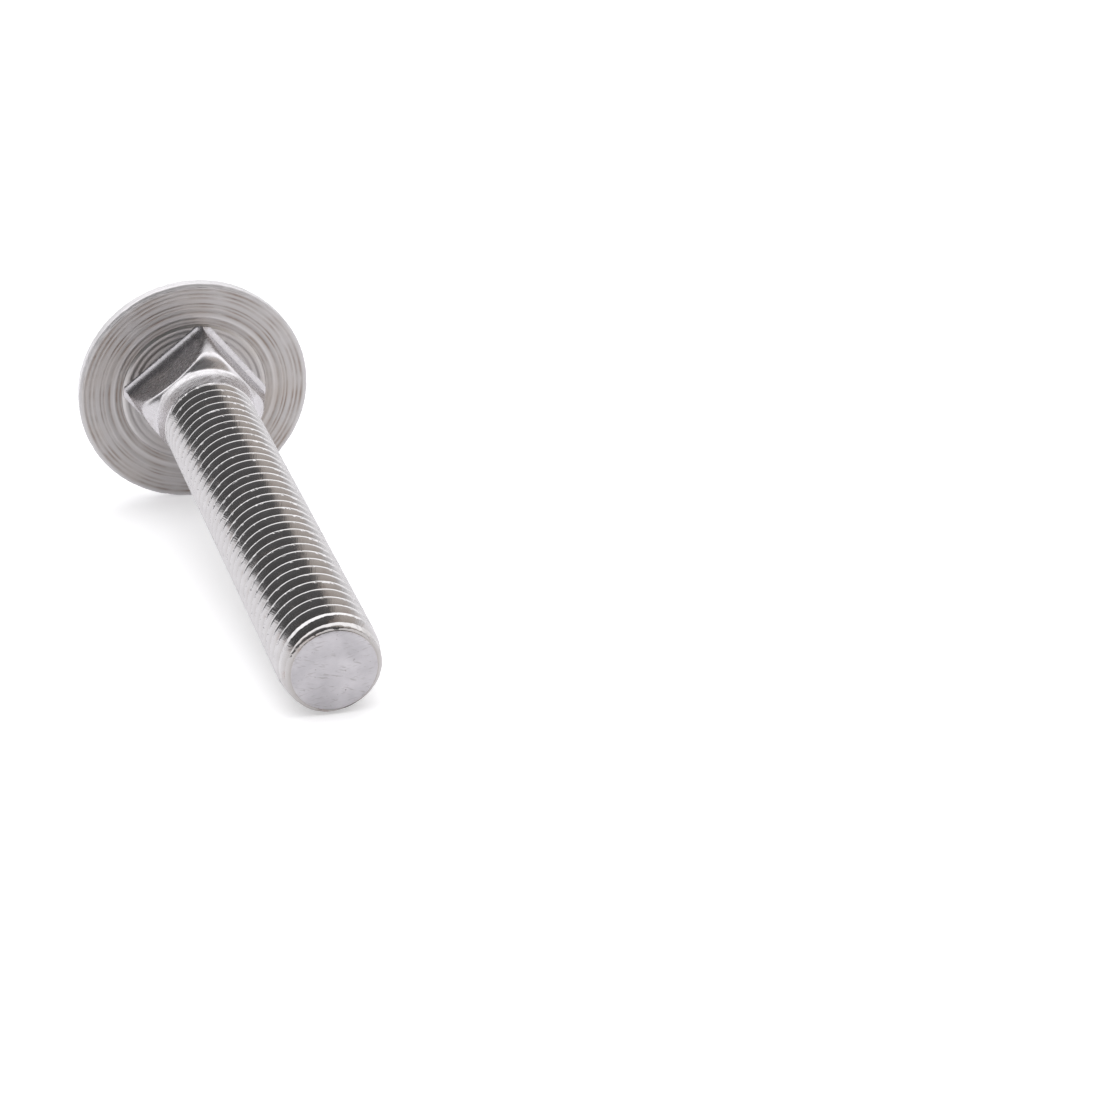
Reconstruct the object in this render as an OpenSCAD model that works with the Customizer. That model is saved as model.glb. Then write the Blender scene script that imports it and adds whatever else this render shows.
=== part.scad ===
// Carriage bolt with a low domed head, a square neck and a thread along the whole shank.
// It lies at rest on the head's rim and on the last full thread ridge.

/* [Head] */
// Diameter of the head
head_d = 20; // [15:0.5:26]
// Height of the head, from the bearing face to the top of the dome
head_h = 4.5; // [3.5:0.1:6]
// Thickness of the head at its rounded rim
rim_t = 0.9; // [0.6:0.1:1.4]
// Diameter of the raised seat that the square neck stands on
seat_d = 12.5; // [12:0.1:14]
// Height of the raised seat
seat_h = 0.15; // [0.05:0.05:0.4]
// Width of the sloping edge of the seat
seat_slope = 0.2; // [0.1:0.05:0.4]

/* [Square neck] */
// Width of the neck across its flats
neck_w = 8.2; // [7.6:0.1:8.6]
// Length from the bearing face to the round collar
neck_len = 5; // [4:0.1:7]
// Radius at the root of the flats
neck_fillet = 0.35; // [0.1:0.05:0.6]
// Distance from the axis to the corners where they end at the shoulder
neck_corner_r = 5.2; // [4.9:0.05:5.3]
// Slope of the shoulder under the corners, in degrees
shoulder_angle = 28; // [15:1:40]
// Radius between the shoulder and the collar
shoulder_fillet = 0.8; // [0.5:0.05:0.9]
// Turn of the neck about the bolt, in degrees, with 0 for a corner straight up
neck_turn = -6; // [-45:1:45]

/* [Shank] */
// Nominal diameter of the thread, and of the plain collar under the neck
shank_d = 8; // [7.5:0.1:8.2]
// Length from the bearing face to the end of the bolt
bolt_len = 50; // [30:1:80]
// Length of the plain collar
collar_len = 0.8; // [0.4:0.1:3]
// Length of the chamfer on the end
end_chamfer = 1.5; // [0.8:0.1:2.5]
// Diameter of the flat end face
end_d = 6.4; // [6:0.1:6.6]

/* [Thread] */
// Distance from one thread ridge to the next
pitch = 1.25; // [1:0.05:1.5]
// How far the rolled ridges stay below the nominal size
crest_drop = 0.05; // [0.02:0.01:0.1]
// Turns over which the groove deepens after the collar
run_in_turns = 1; // [0.5:0.25:2]

/* [Hidden] */
steel = [0.74, 0.73, 0.73];

// Fineness of the round forms
round_fn = 144;
dome_fn = 360;
rim_fn = 48;
fillet_fn = 72;

// The dome is a sphere that runs smoothly into the round rim
rim_r = rim_t / 2;
rim_axis_r = head_d / 2 - rim_r;
dome_axis_z = (pow(rim_axis_r, 2) + pow(rim_r, 2) - pow(head_h - rim_r, 2)) / (2 * (head_h - rim_t));
dome_r = head_h + dome_axis_z;
dome_edge_angle = atan(rim_axis_r / (dome_axis_z + rim_r));
dome_edge = [dome_r * sin(dome_edge_angle), dome_axis_z - dome_r * cos(dome_edge_angle)];

// Outline of the shoulder, from the corners of the neck to the collar
shank_r = shank_d / 2;
shoulder_out = [sin(shoulder_angle), cos(shoulder_angle)];
shoulder_axis = [shank_r + shoulder_fillet, neck_len];
shoulder_inner = shoulder_axis - shoulder_fillet * shoulder_out;
shoulder_outer = [neck_corner_r, shoulder_inner.y - (neck_corner_r - shoulder_inner.x) * tan(shoulder_angle)];
neck_foot_r = seat_d / 2 - seat_slope;
neck_root_z = seat_h + neck_fillet;

// Thread form: a 60 degree groove with flat ridges and a flat root
groove_angle = 60;
groove_share = 0.6134;
crest_r = shank_r - crest_drop;
groove_depth = groove_share * pitch;
crest_flat = pitch / 8;
flank = groove_depth * tan(groove_angle / 2);
ridge_edges = [-crest_flat / 2, crest_flat / 2, crest_flat / 2 + flank, pitch - crest_flat / 2 - flank];
ridge_depths = [0, 0, groove_depth, groove_depth];
steps_per_turn = 36;
start_angle = 90;
collar_end = neck_len + collar_len;
thread_start = collar_end + crest_flat;
thread_steps = floor(steps_per_turn * (bolt_len - thread_start - ridge_edges[3]) / pitch);
end_r = end_d / 2;

// The bolt lies on the rim and on the last full ridge that points straight down
full_thread_end = bolt_len - end_chamfer - crest_flat / 2;
low_ridges = floor((full_thread_end - thread_start) / pitch - 0.5);
contact_z = thread_start + (low_ridges + 0.5) * pitch + crest_flat / 2;
contact_run = contact_z + rim_r;
contact_rise = rim_axis_r - crest_r;
tilt = atan(contact_rise / contact_run) + asin(rim_r / norm([contact_run, contact_rise]));
lift = rim_axis_r * cos(tilt) + rim_r - rim_r * sin(tilt);
bearing_y = ((bolt_len + dome_axis_z) * cos(tilt) + end_r * sin(tilt) - dome_r) / 2;

// Head, seat and neck share the bolt's own axis: the bearing face is at z = 0, the end at +z
module head() {
    rotate_extrude($fn = round_fn) {
        polygon([[0, 0], [rim_axis_r, 0], [rim_axis_r, -rim_r], dome_edge, [0, dome_edge.y]]);
        translate([rim_axis_r, -rim_r]) circle(r = rim_r, $fn = rim_fn);
        intersection() {
            translate([0, dome_axis_z]) circle(r = dome_r, $fn = dome_fn);
            translate([0, -head_h]) square([dome_edge.x, head_h + dome_edge.y]);
        }
    }
}

module seat() {
    cylinder(h = seat_h, r1 = seat_d / 2, r2 = seat_d / 2 - seat_slope, $fn = round_fn);
}

// Section across two opposite flats, with a concave root where it meets the seat
module flats_section() {
    root_w = neck_w + 2 * neck_fillet;
    translate([-neck_w / 2, -rim_r]) square([neck_w, neck_len + rim_r]);
    difference() {
        translate([-root_w / 2, -rim_r]) square([root_w, neck_root_z + rim_r]);
        for (side = [-1, 1])
            translate([side * root_w / 2, neck_root_z]) circle(r = neck_fillet, $fn = fillet_fn);
    }
}

module flats() {
    rotate([90, 0, 0])
        linear_extrude(height = seat_d, center = true) flats_section();
}

// Round form that the corners of the neck are held to, with the shoulder below them
module neck_limit() {
    rotate_extrude($fn = round_fn)
        difference() {
            polygon([
                [0, -rim_r], [neck_foot_r, -rim_r], [neck_foot_r, neck_root_z],
                shoulder_outer, shoulder_inner, [shoulder_axis.x, neck_len], [0, neck_len]
            ]);
            translate(shoulder_axis) circle(r = shoulder_fillet, $fn = fillet_fn);
        }
}

module square_neck() {
    intersection() {
        rotate([0, 0, 45 + neck_turn]) flats();
        rotate([0, 0, -45 + neck_turn]) flats();
        neck_limit();
    }
}

module collar() {
    cylinder(h = collar_end, r = shank_r, $fn = round_fn);
}

// The thread is one swept skin: four edges wind round the axis, and each column of points
// at one angle runs from the collar to the end face
function end_limit(z) = end_r + max(0, bolt_len - z) * (shank_r - end_r) / end_chamfer;
function run_in(i) = min(1, i / (run_in_turns * steps_per_turn));
function skin_point(i, r, z) =
    let (angle = start_angle + 360 * i / steps_per_turn)
    [r * cos(angle), r * sin(angle), z];
function ridge_point(i, k) =
    let (z = thread_start + pitch * i / steps_per_turn + ridge_edges[k])
    skin_point(i, min(crest_r - run_in(i) * ridge_depths[k], end_limit(z)), z);

function fan(loop) = [for (k = [1 : len(loop) - 2]) [loop[0], loop[k], loop[k + 1]]];
function strip(a, b, c, d) = [[a, b, c], [a, c, d]];

module threaded_shank() {
    n = steps_per_turn;
    last = thread_steps;
    ring_at = 4 * (last + 1);
    function edge(i, k) = 4 * i + k;
    function near(i) = ring_at + i % n;
    function far(i) = ring_at + n + i % n;
    points = [
        for (i = [0 : last]) for (k = [0 : 3]) ridge_point(i, k),
        for (j = [0 : n - 1]) skin_point(j, crest_r, neck_len),
        for (j = [0 : n - 1]) skin_point(j, end_r, bolt_len)
    ];
    skin = [
        // Ridge tops, flanks and roots inside one turn
        for (i = [0 : last - 1]) for (k = [0 : 2])
            each strip(edge(i, k), edge(i, k + 1), edge(i + 1, k + 1), edge(i + 1, k)),
        // Flank that joins one turn to the next
        for (i = [0 : last - n - 1]) each strip(edge(i, 3), edge(i + n, 0), edge(i + n + 1, 0), edge(i + 1, 3)),
        // From the ring in the collar to the first turn, where the winding starts
        for (i = [0 : n - 2]) each strip(near(i), edge(i, 0), edge(i + 1, 0), near(i + 1)),
        each fan([near(n - 1), edge(n - 1, 0), edge(n, 0), for (k = [3 : -1 : 0]) edge(0, k), near(0)]),
        [for (j = [0 : n - 1]) near(j)],
        // From the last turn to the end face, where the winding stops
        for (i = [last - n + 1 : last - 1]) each strip(edge(i, 3), far(i), far(i + 1), edge(i + 1, 3)),
        each fan([
            far(last + 1), edge(last - n + 1, 3), edge(last - n, 3),
            for (k = [0 : 3]) edge(last, k), far(last)
        ]),
        [for (j = [n - 1 : -1 : 0]) far(j)]
    ];
    polyhedron(points = points, faces = skin, convexity = 10);
}

module carriage_bolt() {
    color(steel)
        translate([0, bearing_y, lift])
            rotate([90 + tilt, 0, 0]) {
                head();
                seat();
                square_neck();
                collar();
                threaded_shank();
            }
}

carriage_bolt();
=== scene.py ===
import math
import random

import bpy
from mathutils import Matrix, Vector, noise


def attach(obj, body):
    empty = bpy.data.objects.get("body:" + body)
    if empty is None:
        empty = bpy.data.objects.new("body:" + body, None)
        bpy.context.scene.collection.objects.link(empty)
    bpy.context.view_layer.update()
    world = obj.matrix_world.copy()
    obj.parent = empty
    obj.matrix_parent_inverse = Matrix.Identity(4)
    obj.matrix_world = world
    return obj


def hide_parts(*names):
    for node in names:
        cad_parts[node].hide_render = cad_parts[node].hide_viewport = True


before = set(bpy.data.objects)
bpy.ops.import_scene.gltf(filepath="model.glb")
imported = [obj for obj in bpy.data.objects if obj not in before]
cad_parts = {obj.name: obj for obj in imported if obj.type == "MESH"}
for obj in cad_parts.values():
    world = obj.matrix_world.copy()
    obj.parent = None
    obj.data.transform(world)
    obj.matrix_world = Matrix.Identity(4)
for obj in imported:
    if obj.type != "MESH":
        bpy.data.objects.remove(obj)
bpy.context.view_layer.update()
bpy.ops.object.select_all(action="DESELECT")

# The head of the bolt.
# A low dome is cold-forged on the end of a stainless steel wire. The dies leave an upright rim with
# ragged edges round it, and ring marks on the underside, whose grooves get painted shade and drawing
# dirt.
MM = 0.001
TURN_STEPS = 224
HEAD_RADIUS = 9.975
HEAD_HEIGHT = 4.48
RIM_THICKNESS = 1.4
RIM_FAR_RADIUS = 9.905
RIM_EDGE = 0.25
RIM_WAVE = 0.012
RIM_NICK = 0.07
FACE_RADIUS = HEAD_RADIUS - 0.32
SEAT_RADIUS = 6.25
SEAT_TOP_RADIUS = 6.05
SEAT_HEIGHT = 0.15
SEAT_RINGS = (5.62, 5.15)
RING_MARKS = (9.42, 9.03, 8.73, 8.15, 7.9, 7.4, 6.75, 6.45)
RING_DEPTHS = (0.02, 0.034)
RING_HALF_WIDTH = 0.085
FINE_DEPTHS = (0.003, 0.009)
FINE_HALF_WIDTH = 0.05
FINE_SPACING = (0.14, 0.24)


def start_outline(name, x, z):
    """A new piece of one point, at x from the bolt's axis and z along it, in edit mode."""
    bpy.ops.object.select_all(action="DESELECT")
    bpy.ops.mesh.primitive_plane_add(size=MM, location=(x * MM, 0, z * MM))
    piece = bpy.context.object
    piece.name = piece.data.name = name
    bpy.ops.object.transform_apply(location=True)
    bpy.ops.object.mode_set(mode="EDIT")
    bpy.ops.mesh.merge(type="CENTER")
    return piece


def draw_outline(points):
    """Extrudes the last point through each of the next points."""
    for (x0, z0), (x1, z1) in zip(points, points[1:]):
        step = ((x1 - x0) * MM, 0, (z1 - z0) * MM)
        bpy.ops.mesh.extrude_region_move(TRANSFORM_OT_translate={"value": step})


def turn_outline(steps=TURN_STEPS):
    """Spins the whole outline once round the bolt's axis and closes the seam and the poles."""
    bpy.ops.mesh.select_all(action="SELECT")
    bpy.ops.mesh.spin(steps=steps, angle=math.tau, center=(0, 0, 0), axis=(0, 0, 1))
    bpy.ops.mesh.select_all(action="SELECT")
    bpy.ops.mesh.remove_doubles(threshold=1e-7)
    bpy.ops.mesh.normals_make_consistent(inside=False)
    bpy.ops.object.mode_set(mode="OBJECT")


def arc(centre, radius, start, end, steps):
    """Points on a round stretch, after its start. The angle is 0 along z and turns outwards."""
    angles = [start + (end - start) * i / steps for i in range(1, steps + 1)]
    return [(centre[0] + radius * math.sin(a), centre[1] + radius * math.cos(a)) for a in angles]


def along(start, end, steps):
    """Points on a straight line after its start, up to its end."""
    return [
        (start[0] + (end[0] - start[0]) * i / steps, start[1] + (end[1] - start[1]) * i / steps)
        for i in range(1, steps + 1)
    ]


def dome_outline():
    """The dome, from its pole, and the upright rim with a small radius on both its edges."""
    near_r, far_r, far = HEAD_RADIUS - RIM_EDGE, RIM_FAR_RADIUS - RIM_EDGE, RIM_THICKNESS - RIM_EDGE
    centre_z = (far_r**2 + far**2 - (HEAD_HEIGHT - RIM_EDGE) ** 2) / (
        2 * (HEAD_HEIGHT - RIM_THICKNESS)
    )
    dome_r = HEAD_HEIGHT + centre_z
    edge = math.pi - math.atan(far_r / (centre_z + far))
    points = [(0, -HEAD_HEIGHT)]
    points += arc((0, centre_z), dome_r, math.pi, edge, 34)
    points += arc((far_r, -far), RIM_EDGE, edge, math.pi / 2, 5)
    points += along((RIM_FAR_RADIUS, -far), (HEAD_RADIUS, -RIM_EDGE), 5)
    return points + arc((near_r, -RIM_EDGE), RIM_EDGE, math.pi / 2, 0, 5)


def underside_outline():
    """From the rim in to the seat, with eight ring grooves of the die and fine marks between."""
    marks = random.Random(8)
    rings = [(r, marks.uniform(*RING_DEPTHS), RING_HALF_WIDTH) for r in RING_MARKS]
    r = FACE_RADIUS
    while r > SEAT_RADIUS + 0.15:
        if all(abs(r - ring) > 0.16 for ring in RING_MARKS):
            rings.append((r, marks.uniform(*FINE_DEPTHS), FINE_HALF_WIDTH))
        r -= marks.uniform(*FINE_SPACING)
    points = []
    for r, deep, half in sorted(rings, reverse=True):
        points += [(r + half, 0), (r, -deep), (r - half, 0)]
    return points + [(SEAT_RADIUS + 0.07, 0), (SEAT_RADIUS + 0.02, -0.03)]


def seat_outline():
    """The seat slopes up at its edge and carries two rings round the neck."""
    points = [(SEAT_RADIUS - 0.04, 0.02), (SEAT_TOP_RADIUS + 0.03, 0.135)]
    points += [(SEAT_TOP_RADIUS, SEAT_HEIGHT)]
    for r in SEAT_RINGS:
        points += [(r + 0.1, SEAT_HEIGHT), (r, 0.11), (r - 0.1, 0.14)]
    return points + [(4.0, 0.14), (3.6, 0.14)]


def age_head(piece):
    """Makes the rim and the ring marks uneven, inwards only, as forging dies leave them."""
    for point in piece.data.vertices:
        place = point.co / MM
        r = math.hypot(place.x, place.y)
        level = Vector((place.x, place.y, 0))
        if r > HEAD_RADIUS - 0.3 and place.z > -RIM_THICKNESS - 0.1:
            wave = RIM_WAVE + RIM_WAVE * noise.noise(level * 0.5 + Vector((0, 0, place.z)))
            nick = max(0, noise.noise(level * 2.6 + Vector((0, 0, place.z * 3))) - 0.1)
            nick *= RIM_NICK
            point.co.xy *= 1 - (wave + nick) / r
            if place.z > -RIM_EDGE - 0.01 or place.z < RIM_EDGE - RIM_THICKNESS:
                ragged = noise.noise(level * 1.7 + Vector((0, 0, 9)))
                point.co.z -= (0.03 + 0.05 * ragged) * MM * (1 if place.z > -0.5 else -1)
        elif -0.06 < place.z < 0 and r > SEAT_RADIUS:
            point.co.z *= 0.65 + 0.6 * noise.noise(level * 0.3 + Vector((0, 0, 3)))


head_points = dome_outline() + underside_outline() + seat_outline()
head = start_outline("bolt_head", *head_points[0])
draw_outline(head_points)
draw_outline([head_points[-1], (0, head_points[-1][1])])
turn_outline()
age_head(head)

# The square neck under the head.
# It is pressed into timber so that the bolt can't turn. A smooth lip runs round its foot, and its
# corners lean in and end in a sloping shoulder that runs into the tapered collar.
NECK_HALVES = ((4.38, 4.15), (4.2, 4.15))
NECK_TURN = math.radians(-6)
LIP = ((0.15, 0.5), (0.2, 0.5), (0.24, 0.46), (0.26, 0.38), (0.32, 0.07), (0.36, 0.02), (0.45, 0))
CORNER = (5.156, 4.2)
SHOULDER_ANGLE = math.radians(35)
SHOULDER_ROOT = 0.4
COLLAR = ((4.2, 5.0), (4.07, 5.6), (4.01, 6.1), (3.975, 6.6), (3.955, 7.0))
FOOT_RADIUS = 6.2
FLATS_END = 4.8
FLATS_DENT = 0.014
NECK_STEPS = 300
# Rounding of the neck's edges at the head, what each mm of height adds, and the most it gets to
EDGE_ROUNDING = (0.05, 0.09, 0.42)


def bend(start, corner, end, steps):
    """Points on a soft bend from start to end that follows the corner between them."""
    points = []
    for t in (i / steps for i in range(1, steps + 1)):
        ways = zip(start, corner, end)
        points.append(tuple((1 - t) ** 2 * a + 2 * t * (1 - t) * b + t**2 * c for a, b, c in ways))
    return points


def shoulder_outline():
    """Round form that holds the corners, with the shoulder and the collar under them."""
    (top_r, top_z), (next_r, next_z) = COLLAR[:2]
    last = math.pi / 2 - math.atan((top_r - next_r) / (next_z - top_z))
    root = (top_r + SHOULDER_ROOT * math.sin(last), top_z + SHOULDER_ROOT * math.cos(last))
    inner = (
        root[0] - SHOULDER_ROOT * math.sin(SHOULDER_ANGLE),
        root[1] - SHOULDER_ROOT * math.cos(SHOULDER_ANGLE),
    )
    top = (FOOT_RADIUS, LIP[-1][0])
    before = along(CORNER, top, 7)[0]
    after = along(CORNER, inner, 2)[0]
    points = [(0, -0.5), (FOOT_RADIUS, -0.5)]
    points += [(FOOT_RADIUS, height) for height, out in LIP]
    points += along(top, before, 24)
    points += bend(before, CORNER, after, 8)
    points += along(after, inner, 5)
    points += arc(root, SHOULDER_ROOT, SHOULDER_ANGLE + math.pi, last + math.pi, 6)
    for above, below in zip(COLLAR, COLLAR[1:]):
        points += along(above, below, 3)
    return points + [(3.6, 7.2), (3.0, 7.3), (0, 7.3)]


def soft_limit(value, limit, soft):
    """The value held under the limit, with a round transition instead of a sharp edge."""
    if value <= limit - soft:
        return value
    over = min(1, (value - limit + soft) / (2 * soft))
    return limit - soft + soft * (2 * over - over**2)


def lip_width(height):
    """How far the foot of the neck stands out from the flats at a height above the head."""
    if height <= LIP[0][0]:
        return LIP[0][1]
    for (low, wide), (high, narrow) in zip(LIP, LIP[1:]):
        if height <= high:
            return wide + (narrow - wide) * (height - low) / (high - low)
    return 0


def press_flats(piece):
    """Presses the four flats into the turned form, with the lip at the foot of the neck."""
    turn = Matrix.Rotation(math.radians(45) + NECK_TURN, 3, "Z")
    at_head, per_mm, at_most = EDGE_ROUNDING
    for point in piece.data.vertices:
        place = turn.transposed() @ point.co
        height = place.z / MM
        release = 2.5 * max(0, height - FLATS_END)
        soft = min(at_most, at_head + per_mm * max(0, height))
        for k in (0, 1):
            dent = FLATS_DENT * noise.noise(place / MM * 0.8 + Vector((9 * k, 0, 0)))
            half = NECK_HALVES[k][0 if place[k] > 0 else 1]
            limit = half + lip_width(height) + dent + release
            held = soft_limit(abs(place[k]) / MM, limit, soft)
            place[k] = math.copysign(held * MM, place[k])
        point.co = turn @ place


def combine(piece, other, operation):
    """Joins or cuts one closed piece with another, which is then taken away."""
    bpy.ops.object.select_all(action="DESELECT")
    bpy.context.view_layer.objects.active = piece
    piece.select_set(True)
    cut = piece.modifiers.new("combine", "BOOLEAN")
    cut.operation = operation
    cut.object = other
    cut.solver = "EXACT"
    bpy.ops.object.modifier_apply(modifier=cut.name)
    bpy.data.objects.remove(other)


neck_points = shoulder_outline()
neck = start_outline("square_neck", *neck_points[0])
draw_outline(neck_points)
turn_outline(NECK_STEPS)
press_flats(neck)

# The shank and its rolled thread.
# Dies roll a right-hand thread along the whole shank, so its ridges stand a little under 8 mm. The
# groove deepens over its first turn, and the last ridge is thin and burred at the end face.
LENGTH = 50.0
PITCH = 1.25
CREST_RADIUS = 3.95
GROOVE_DEPTH = 0.6134 * PITCH
END_RADIUS = 3.3
THREAD_START = 5.95625
RUN_IN_TURNS = 0.85
RIDGE_STEPS = 108
# Depth below the ridge top and distance from its middle
RIDGE = ((0, 0), (0.004, 0.055), (0.032, 0.098), (0.1, 0.138), (0.6, 0.427), (0.725, 0.51))
FIRST_RIDGE_NICK = 0.06
RIDGE_NICK = 0.012


def ridge_outline(first):
    """One pitch of the thread, from the middle of a ridge to the middle of the next."""
    half = [(CREST_RADIUS - deep, wide) for deep, wide in RIDGE]
    root = [(CREST_RADIUS - GROOVE_DEPTH, PITCH / 2)]
    other = [(r, PITCH - z) for r, z in reversed(half)]
    return [(r, first + z) for r, z in half + root + other]


def wear_ridges(piece):
    """Fades the groove in after the collar, lifts it at the end and nicks the ridge tops."""
    for point in piece.data.vertices:
        place = point.co / MM
        r = math.hypot(place.x, place.y)
        turn = (math.atan2(place.y, place.x) / math.tau - 0.25) % 1
        wound = math.floor((place.z - THREAD_START) / PITCH - turn + 0.001) + turn
        deep = min(1, max(0, wound / RUN_IN_TURNS))
        new_r = CREST_RADIUS - (CREST_RADIUS - r) * deep
        ending = min(1, max(0, (place.z - 49.1) / 0.8))
        new_r = max(new_r, CREST_RADIUS - GROOVE_DEPTH * (1 - 0.2 * ending))
        top = min(1, max(0, (r - CREST_RADIUS + 0.12) / 0.1))
        rough = FIRST_RIDGE_NICK if place.z < 7.8 else RIDGE_NICK
        nick = max(0, noise.noise(place * 3.1)) + 0.5 * noise.noise(place * 0.9) + 0.2
        new_r -= top * rough * max(0, nick)
        point.co.xy *= new_r / r


first = THREAD_START - 3.25 * PITCH
ridge_points = ridge_outline(first)
shank = start_outline("threaded_shank", *ridge_points[0])
draw_outline(ridge_points)
bpy.ops.object.mode_set(mode="OBJECT")
wind = shank.modifiers.new("wind", "SCREW")
wind.axis = "Z"
wind.steps = wind.render_steps = RIDGE_STEPS
wind.iterations = int((LENGTH - first) / PITCH) + 3
wind.screw_offset = PITCH * MM
wind.use_merge_vertices = True
wind.merge_threshold = 1e-7
bpy.ops.object.modifier_apply(modifier=wind.name)

bpy.ops.object.mode_set(mode="EDIT")
for height, keep_below in ((4.5, False), (LENGTH + 0.4, True)):
    bpy.ops.mesh.select_all(action="SELECT")
    bpy.ops.mesh.bisect(
        plane_co=(0, 0, height * MM),
        plane_no=(0, 0, 1),
        use_fill=True,
        clear_inner=not keep_below,
        clear_outer=keep_below,
        threshold=1e-7,
    )
bpy.ops.mesh.select_all(action="SELECT")
bpy.ops.mesh.remove_doubles(threshold=1e-6)
bpy.ops.mesh.normals_make_consistent(inside=False)
bpy.ops.object.mode_set(mode="OBJECT")
wear_ridges(shank)

# The blank is rounded off before it is rolled, so its end cuts the last ridges thin
blank_points = [(0, 3.5), (4.3, 3.5), (4.3, 47.2), (3.99, 47.6), (3.94, 47.95), (3.88, 48.45)]
blank_points += along((3.88, 48.45), (3.66, 49.74), 8)
blank_points += [(3.62, 49.82), (3.54, 49.9), (3.5, 49.925), (3.36, 49.955), (END_RADIUS, 49.93)]
blank_points += [(3.24, 49.965), (3.0, 49.975), (0, 49.975)]
blank = start_outline("blank_form", *blank_points[0])
draw_outline(blank_points)
turn_outline()
for point in blank.data.vertices:
    place = point.co / MM
    if place.z > 48 and math.hypot(place.x, place.y) > 3.4:
        dent = max(0, 0.3 + noise.noise(place * 2.7)) + max(0, 0.3 + noise.noise(place * 6.5))
        point.co.xy *= 1 - 0.011 * dent
combine(shank, blank, "INTERSECT")
combine(neck, shank, "UNION")
combine(head, neck, "UNION")

# The finish of the bolt, laid on its rim and on its last full ridge.
# Each stretch keeps the marks of how it was made: the dome is tumbled bright, the underside is die
# marked and stained, the neck is coined smooth, the thread is rolled glossy and the end is sheared.
TILT = math.radians(7.13504)
LIFT = 9.87015
BEARING_Y = 22.7148
LAID_TURN = math.pi / 2 + TILT
DIE_CIRCLE = 3.1
# Over this span from the axis, in mm, the ring grooves get painted shade and drawing dirt
DIRT_AND_SHADE_FROM = 6
DIRT_AND_SHADE_TO = 10


def add_node(tree, kind, inputs, **settings):
    """Adds a shader node with its settings, and sets or links its inputs."""
    made = tree.nodes.new("ShaderNode" + kind)
    for name, value in settings.items():
        setattr(made, name, value)
    for name, value in inputs.items():
        if isinstance(value, bpy.types.NodeSocket):
            tree.links.new(value, made.inputs[name])
        else:
            made.inputs[name].default_value = value
    return made


def start_finish(name):
    """A new metal finish, with places on the bolt in mm and z along its axis from the head."""
    finish = bpy.data.materials.new(name)
    finish.use_nodes = True
    tree = finish.node_tree
    shader = tree.nodes["Principled BSDF"]
    shader.inputs["Metallic"].default_value = 1.0
    origin = Matrix.Rotation(-LAID_TURN, 3, "X") @ Vector((0, BEARING_Y, LIFT))
    laid_place = add_node(tree, "TexCoord", {}).outputs["Object"]
    turned = {"Vector": laid_place, "Location": -origin, "Rotation": (-LAID_TURN, 0, 0)}
    turned["Scale"] = (1 / MM, 1 / MM, 1 / MM)
    return finish, tree, shader, add_node(tree, "Mapping", turned).outputs["Vector"]


def cloud(tree, place, scale, detail=2.0, turn=(0, 0, 0), stretch=(1, 1, 1)):
    """Cloudy values of 0 to 1, with about as many patches in a millimetre as scale says."""
    laid = {"Vector": place, "Rotation": turn, "Scale": [1 / share for share in stretch]}
    laid = add_node(tree, "Mapping", laid, vector_type="TEXTURE")
    inputs = {"Vector": laid.outputs["Vector"], "Scale": scale, "Detail": detail}
    return add_node(tree, "TexNoise", inputs).outputs[0]


def span(tree, value, low, high, start=0.0, end=1.0):
    """Carries values between low and high over to start and end, and holds the rest."""
    names = ("Value", "From Min", "From Max", "To Min", "To Max")
    return add_node(tree, "MapRange", dict(zip(names, (value, low, high, start, end)))).outputs[0]


def joined(tree, operation, first, second):
    """Two values brought together by a sum, a product or the like."""
    return add_node(tree, "Math", {0: first, 1: second}, operation=operation).outputs[0]


def tint(tree, share, first, second):
    """The first colour where share is 0, and the second where it is 1."""
    inputs = {"Factor": share, "A": first, "B": second}
    return add_node(tree, "Mix", inputs, data_type="RGBA").outputs["Result"]


def round_axis(tree, place):
    """Distance from the bolt's axis, and the direction away from it."""
    flat = add_node(tree, "VectorMath", {0: place, 1: (1, 1, 0)}, operation="MULTIPLY").outputs[0]
    distance = add_node(tree, "VectorMath", {0: flat}, operation="LENGTH").outputs["Value"]
    outwards = add_node(tree, "VectorMath", {0: flat}, operation="NORMALIZE").outputs[0]
    return distance, outwards


def relief(tree, shader, *layers):
    """Chains bumps, each of a height from 0 to 1 and its depth in mm, into the shader."""
    normal = None
    for height, depth in layers:
        inputs = {"Height": height, "Strength": 1.0, "Distance": depth * MM}
        if normal:
            inputs["Normal"] = normal
        normal = add_node(tree, "Bump", inputs).outputs["Normal"]
    tree.links.new(normal, shader.inputs["Normal"])


def feed(tree, shader, colour, roughness):
    """Gives the shader its colour and its roughness."""
    tree.links.new(colour, shader.inputs["Base Color"])
    tree.links.new(roughness, shader.inputs["Roughness"])


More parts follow.
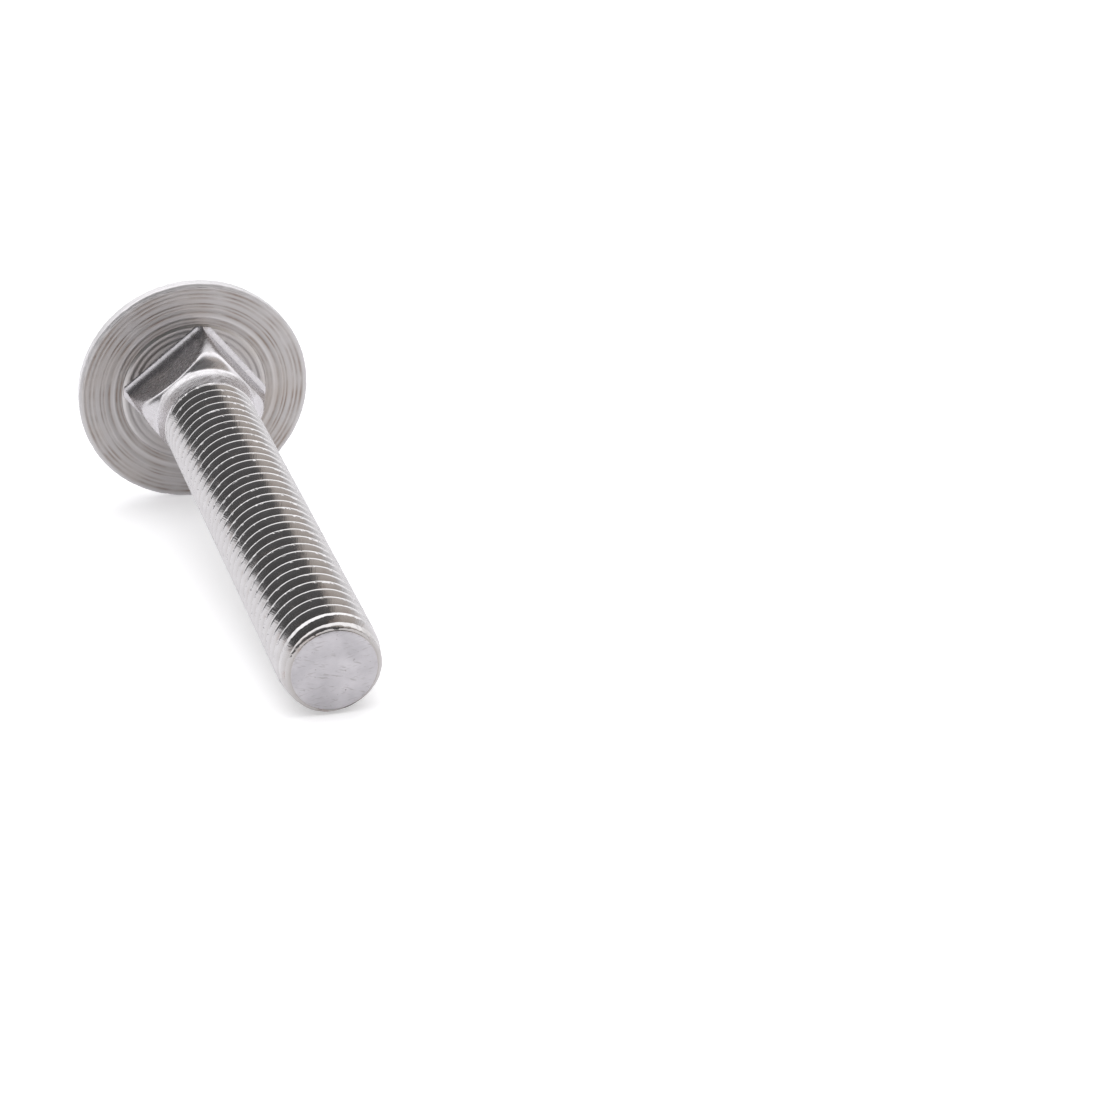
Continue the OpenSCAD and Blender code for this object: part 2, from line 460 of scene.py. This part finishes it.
def tumbled_dome():
    """Bright dome with fine pits and short scratches from tumbling, and a faint die circle."""
    grey = (0.55, 0.535, 0.55, 1)
    pale = (0.65, 0.635, 0.655, 1)
    dull = (0.42, 0.4, 0.41, 1)
    finish, tree, shader, place = start_finish("tumbled_dome")
    patches = cloud(tree, place, 0.45, 4)
    pits = span(tree, cloud(tree, place, 5.5, 1.5), 0.63, 0.72)
    scratches = span(tree, cloud(tree, place, 1, 1, (0.3, 0.2, 0.9), (0.9, 8, 8)), 0.66, 0.72)
    crossing = span(tree, cloud(tree, place, 1, 1, (0.1, 0.4, -0.5), (1.1, 9, 9)), 0.67, 0.73)
    scratches = joined(tree, "MAXIMUM", scratches, crossing)
    distance, outwards = round_axis(tree, place)
    past_circle = joined(tree, "SUBTRACT", distance, DIE_CIRCLE)
    past_circle = add_node(tree, "Math", {0: past_circle}, operation="ABSOLUTE").outputs[0]
    circle = span(tree, past_circle, 0.0, 0.12, 1.0, 0.0)
    worn = joined(tree, "MAXIMUM", pits, scratches)
    colour = tint(tree, patches, grey, pale)
    colour = tint(tree, joined(tree, "MULTIPLY", worn, 0.3), colour, dull)
    roughness = span(tree, patches, 0.3, 0.7, 0.14, 0.2)
    roughness = joined(tree, "ADD", roughness, joined(tree, "MULTIPLY", worn, 0.12))
    feed(tree, shader, colour, roughness)
    fine = cloud(tree, place, 11, 2)
    bumps = ((fine, 0.0012), (patches, 0.012), (pits, -0.006), (scratches, -0.004))
    relief(tree, shader, *bumps, (circle, 0.002))
    return finish


def stained_underside():
    """Greyer metal with ring marks of the die, and its grooves painted dark brown: painted shade
    with drawing dirt.
    """
    grey = (0.445, 0.425, 0.422, 1)
    pale = (0.59, 0.569, 0.57, 1)
    dirt_and_shade_brown = (0.21, 0.15, 0.115, 1)
    stain_brown = (0.4, 0.345, 0.305, 1)
    rim_pale = (0.68, 0.665, 0.675, 1)
    finish, tree, shader, place = start_finish("stained_underside")
    distance, outwards = round_axis(tree, place)
    rings = {"W": distance, "Scale": 2.2, "Detail": 3.5}
    rings = add_node(tree, "TexNoise", rings, noise_dimensions="1D").outputs[0]
    # Painted shade: the ring grooves are painted dark brown, the shade of the grooves mixed with
    # drawing dirt
    groove_dirt_and_shade = add_node(tree, "ValToRGB", {"Fac": span(tree, distance, DIRT_AND_SHADE_FROM, DIRT_AND_SHADE_TO)})
    for stop in groove_dirt_and_shade.color_ramp.elements:
        stop.color = (0, 0, 0, 1)
    for ring in sorted(RING_MARKS):
        for r, dark in ((ring - 0.17, 0), (ring, 1), (ring + 0.17, 0)):
            stop = groove_dirt_and_shade.color_ramp.elements.new((r - DIRT_AND_SHADE_FROM) / (DIRT_AND_SHADE_TO - DIRT_AND_SHADE_FROM))
            stop.color = (dark, dark, dark, 1)
    patches = cloud(tree, place, 0.22, 3)
    uneven = span(tree, cloud(tree, place, 0.35, 3), 0.38, 0.65, 0.08, 0.8)
    dirt_and_shade = joined(tree, "MULTIPLY", groove_dirt_and_shade.outputs["Color"], uneven)
    tone = joined(tree, "ADD", rings, joined(tree, "MULTIPLY", patches, 0.5))
    colour = tint(tree, span(tree, tone, 0.5, 1.0), grey, pale)
    colour = tint(tree, dirt_and_shade, colour, dirt_and_shade_brown)
    colour = tint(tree, span(tree, patches, 0.45, 0.7, 0.0, 0.45), colour, stain_brown)
    edge = span(tree, distance, FACE_RADIUS, HEAD_RADIUS - 0.16)
    colour = tint(tree, edge, colour, rim_pale)
    roughness = span(tree, rings, 0.3, 0.7, 0.46, 0.36)
    roughness = joined(tree, "ADD", roughness, joined(tree, "MULTIPLY", edge, 0.25))
    feed(tree, shader, colour, roughness)
    relief(tree, shader, (rings, 0.014), (cloud(tree, place, 4, 3), 0.004))
    return finish


def coined_neck():
    """Smooth pressed metal, mottled and lightly streaked by the die, with a painted highlight on the
    collar.
    """
    grey = (0.55, 0.533, 0.553, 1)
    pale = (0.71, 0.69, 0.713, 1)
    bright = (0.8, 0.782, 0.805, 1)
    stain_brown = (0.35, 0.32, 0.31, 1)
    finish, tree, shader, place = start_finish("coined_neck")
    mottle = cloud(tree, place, 1.3, 3)
    streaks = cloud(tree, place, 1, 3, (0.5, 0.35, 0.2), (0.5, 5, 5))
    colour = tint(tree, mottle, grey, pale)
    height = add_node(tree, "SeparateXYZ", {"Vector": place}).outputs["Z"]
    # Painted highlight: the collar is painted pale from 4.8 mm up
    colour = tint(tree, span(tree, height, 4.8, 5.3), colour, bright)
    stains = span(tree, cloud(tree, place, 0.9, 3), 0.58, 0.72, 0.0, 0.4)
    colour = tint(tree, stains, colour, stain_brown)
    feed(tree, shader, colour, span(tree, streaks, 0.3, 0.7, 0.22, 0.32))
    relief(tree, shader, (mottle, 0.006), (streaks, 0.0015))
    return finish


def rolled_thread():
    """Glossy flanks with faint chatter, painted shade deep in the groove, brown specks low in it and
    nicks on the ridges.
    """
    grey = (0.55, 0.535, 0.545, 1)
    pale = (0.68, 0.665, 0.675, 1)
    groove_shade_grey = (0.4, 0.375, 0.36, 1)
    speck_brown = (0.34, 0.2, 0.145, 1)
    finish, tree, shader, place = start_finish("rolled_thread")
    distance, outwards = round_axis(tree, place)
    slow = add_node(tree, "VectorMath", {0: place, 1: (0, 0, 0.02)}, operation="MULTIPLY")
    spoke = add_node(tree, "VectorMath", {0: outwards, 1: slow.outputs[0]}, operation="ADD")
    chatter = cloud(tree, spoke.outputs[0], 34, 2)
    lines = cloud(tree, place, 1.3, 3)
    low = span(tree, distance, 3.3, 3.85, 1.0, 0.0)
    specks = span(tree, cloud(tree, place, 0.85, 3), 0.55, 0.68)
    specks = joined(tree, "MULTIPLY", specks, low)
    nicks = span(tree, cloud(tree, place, 2.2, 2), 0.56, 0.66)
    nicks = joined(tree, "MULTIPLY", nicks, span(tree, distance, 3.86, 3.92))
    colour = tint(tree, lines, grey, pale)
    # Painted shade: the metal is painted darker grey towards the root of the groove
    colour = tint(tree, joined(tree, "MULTIPLY", low, 0.8), colour, groove_shade_grey)
    colour = tint(tree, joined(tree, "MULTIPLY", specks, 0.4), colour, speck_brown)
    roughness = span(tree, lines, 0.3, 0.7, 0.11, 0.19)
    roughness = joined(tree, "ADD", roughness, joined(tree, "MULTIPLY", specks, 0.3))
    feed(tree, shader, colour, roughness)
    fine = cloud(tree, place, 6, 2)
    relief(tree, shader, (chatter, 0.0045), (fine, 0.0015), (specks, 0.01), (nicks, -0.03))
    return finish


def sheared_end():
    """Matt pale end face with faint slanting scratches and a few dark pits."""
    grey = (0.475, 0.46, 0.483, 1)
    pale = (0.62, 0.6, 0.625, 1)
    pit_grey = (0.34, 0.32, 0.32, 1)
    finish, tree, shader, place = start_finish("sheared_end")
    patches = cloud(tree, place, 0.5, 4)
    slant = (0, 0, math.radians(14))
    scratches = span(tree, cloud(tree, place, 1, 2, slant, (0.9, 7, 1)), 0.62, 0.72)
    crossing = cloud(tree, place, 1.2, 2, (0.7, 0, math.radians(-17)), (0.8, 6, 1))
    scratches = joined(tree, "MAXIMUM", scratches, span(tree, crossing, 0.6, 0.7))
    fine = cloud(tree, place, 1, 3, slant, (1.5, 14, 1))
    pits = span(tree, cloud(tree, place, 3.2, 2), 0.68, 0.76)
    marks = joined(tree, "MAXIMUM", joined(tree, "MULTIPLY", scratches, 0.55), pits)
    colour = tint(tree, span(tree, patches, 0.3, 0.7), grey, pale)
    colour = tint(tree, marks, colour, pit_grey)
    feed(tree, shader, colour, span(tree, fine, 0.3, 0.7, 0.36, 0.5))
    relief(tree, shader, (fine, 0.002), (marks, -0.012), (patches, 0.03))
    return finish


FINISHES = (tumbled_dome, stained_underside, coined_neck, rolled_thread, sheared_end)


def finish_of(face):
    """The finish of a face, by its place on the bolt before it is laid down."""
    place = face.center / MM
    if place.z < 0.05 - RIM_EDGE:
        return tumbled_dome
    if place.z < SEAT_HEIGHT + 0.01:
        return stained_underside
    if place.z > LENGTH - 0.05 and face.normal.z > 0.9:
        return sheared_end
    if place.z < 7.1 and math.hypot(place.x, place.y) > CREST_RADIUS - 0.06:
        return coined_neck
    return rolled_thread


bolt = head
bolt.name = bolt.data.name = "stainless_bolt"
bpy.ops.object.select_all(action="DESELECT")
bolt.select_set(True)
bpy.context.view_layer.objects.active = bolt
bpy.ops.object.mode_set(mode="EDIT")
bpy.ops.mesh.select_all(action="SELECT")
bpy.ops.mesh.remove_doubles(threshold=1e-6)
bpy.ops.object.mode_set(mode="OBJECT")
bolt.data.materials.clear()
for finish in FINISHES:
    bolt.data.materials.append(finish())
for face in bolt.data.polygons:
    face.material_index = FINISHES.index(finish_of(face))
bolt.rotation_euler.x = LAID_TURN
bolt.location = (0, BEARING_Y * MM, LIFT * MM)
bpy.ops.object.transform_apply(location=True, rotation=True, scale=True)
bpy.ops.object.shade_smooth_by_angle(angle=math.radians(40))
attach(bolt, "root")
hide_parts("carriage_bolt")

# The studio.
# A sheet of white paper carries the bolt inside a white tent. The tent is open towards the camera,
# where polished faces mirror the dark room, and its right wall is a little warmer and greyer.
PAPER_GLOW = 0.38
bpy.ops.object.select_all(action="DESELECT")
bpy.ops.mesh.primitive_plane_add(size=6, location=(0, 0, 0))
floor = bpy.context.object
floor.name = "floor"
paper = bpy.data.materials.new("white_paper")
paper.use_nodes = True
tree = paper.node_tree
shader = tree.nodes["Principled BSDF"]
shader.inputs["Base Color"].default_value = (0.9, 0.895, 0.91, 1)
shader.inputs["Roughness"].default_value = 0.9
shader.inputs["Specular IOR Level"].default_value = 0.0
shader.inputs["Emission Color"].default_value = (1, 1, 1, 1)
rays = add_node(tree, "LightPath", {}).outputs
reflected = joined(tree, "MULTIPLY", rays["Is Glossy Ray"], 0.6)
seen = joined(tree, "ADD", rays["Is Camera Ray"], reflected)
tree.links.new(joined(tree, "MULTIPLY", seen, PAPER_GLOW), shader.inputs["Emission Strength"])
floor.data.materials.append(paper)

# The tent's brightness from straight across (0) to straight into the dark room (1)
ROOM_STOPS = (
    (0.0, 1.1),
    (0.17, 1.05),
    (0.3, 0.95),
    (0.41, 0.53),
    (0.51, 0.265),
    (0.61, 0.148),
    (0.69, 0.13),
    (0.83, 0.112),
    (1.0, 0.105),
)
DARK_ROOM = Vector((-0.28, -0.9, 0.4)).normalized()
WALL_AZIMUTH = math.radians(27)
WALL_GREY = (0.6, 0.555, 0.51, 1)
scene = bpy.context.scene
scene.view_settings.view_transform = "Standard"
tent = bpy.data.worlds.new("tent")
scene.world = tent
tent.use_nodes = True
tree = tent.node_tree
tree.nodes.clear()
way = add_node(tree, "TexCoord", {}).outputs["Generated"]


def facing(direction):
    """How far a ray points along a direction, from -1 to 1."""
    inputs = {0: way, 1: direction}
    return add_node(tree, "VectorMath", inputs, operation="DOT_PRODUCT").outputs["Value"]


room = add_node(tree, "ValToRGB", {"Fac": facing(DARK_ROOM)})
room.color_ramp.elements[0].position = ROOM_STOPS[0][0]
room.color_ramp.elements[1].position = ROOM_STOPS[-1][0]
for place, bright in ROOM_STOPS[1:-1]:
    room.color_ramp.elements.new(place)
for stop, (place, bright) in zip(room.color_ramp.elements, ROOM_STOPS):
    stop.color = (bright, bright, bright, 1)
room = room.outputs["Color"]
height = facing((0, 0, 1))
overhead = span(tree, height, 0.05, 0.6, -0.1, 0.45)
brighter = joined(tree, "ADD", 1.0, joined(tree, "MULTIPLY", room, overhead))
mirrored = joined(tree, "MULTIPLY", room, brighter)
wall = span(tree, facing((math.cos(WALL_AZIMUTH), math.sin(WALL_AZIMUTH), 0)), -0.03, 0.06)
wall_light = {"Factor": wall, "A": mirrored, "B": WALL_GREY}
wall_light = add_node(tree, "Mix", wall_light, data_type="RGBA", blend_type="LIGHTEN")
mirrored = wall_light.outputs["Result"]

# Matt paper gets its light mostly from overhead, so the bolt's shadow stays close to it
above = joined(tree, "POWER", joined(tree, "MAXIMUM", height, 0.0), 3.0)
shed = joined(tree, "ADD", 0.2, joined(tree, "MULTIPLY", above, 2.05))
rays = add_node(tree, "LightPath", {}).outputs
lit = tint(tree, rays["Is Glossy Ray"], shed, mirrored)
shown = tint(tree, rays["Is Camera Ray"], lit, (1, 1, 1, 1))
light = add_node(tree, "Background", {"Color": shown})
add_node(tree, "OutputWorld", {"Surface": light.outputs["Background"]})

# Where the photograph was taken from, in mm, and which way it looks
VIEW_FROM = (-47.846, -229.347, 90.545)
VIEW_ALONG = (0.28275, 0.89325, -0.3495)
lens = bpy.data.cameras.new("camera")
lens.lens = 101.761
lens.sensor_width = 36
lens.clip_start = 0.01
lens.clip_end = 20
camera = bpy.data.objects.new("camera", lens)
scene.collection.objects.link(camera)
camera.location = [distance * MM for distance in VIEW_FROM]
camera.rotation_euler = Vector(VIEW_ALONG).to_track_quat("-Z", "Y").to_euler()
scene.camera = camera
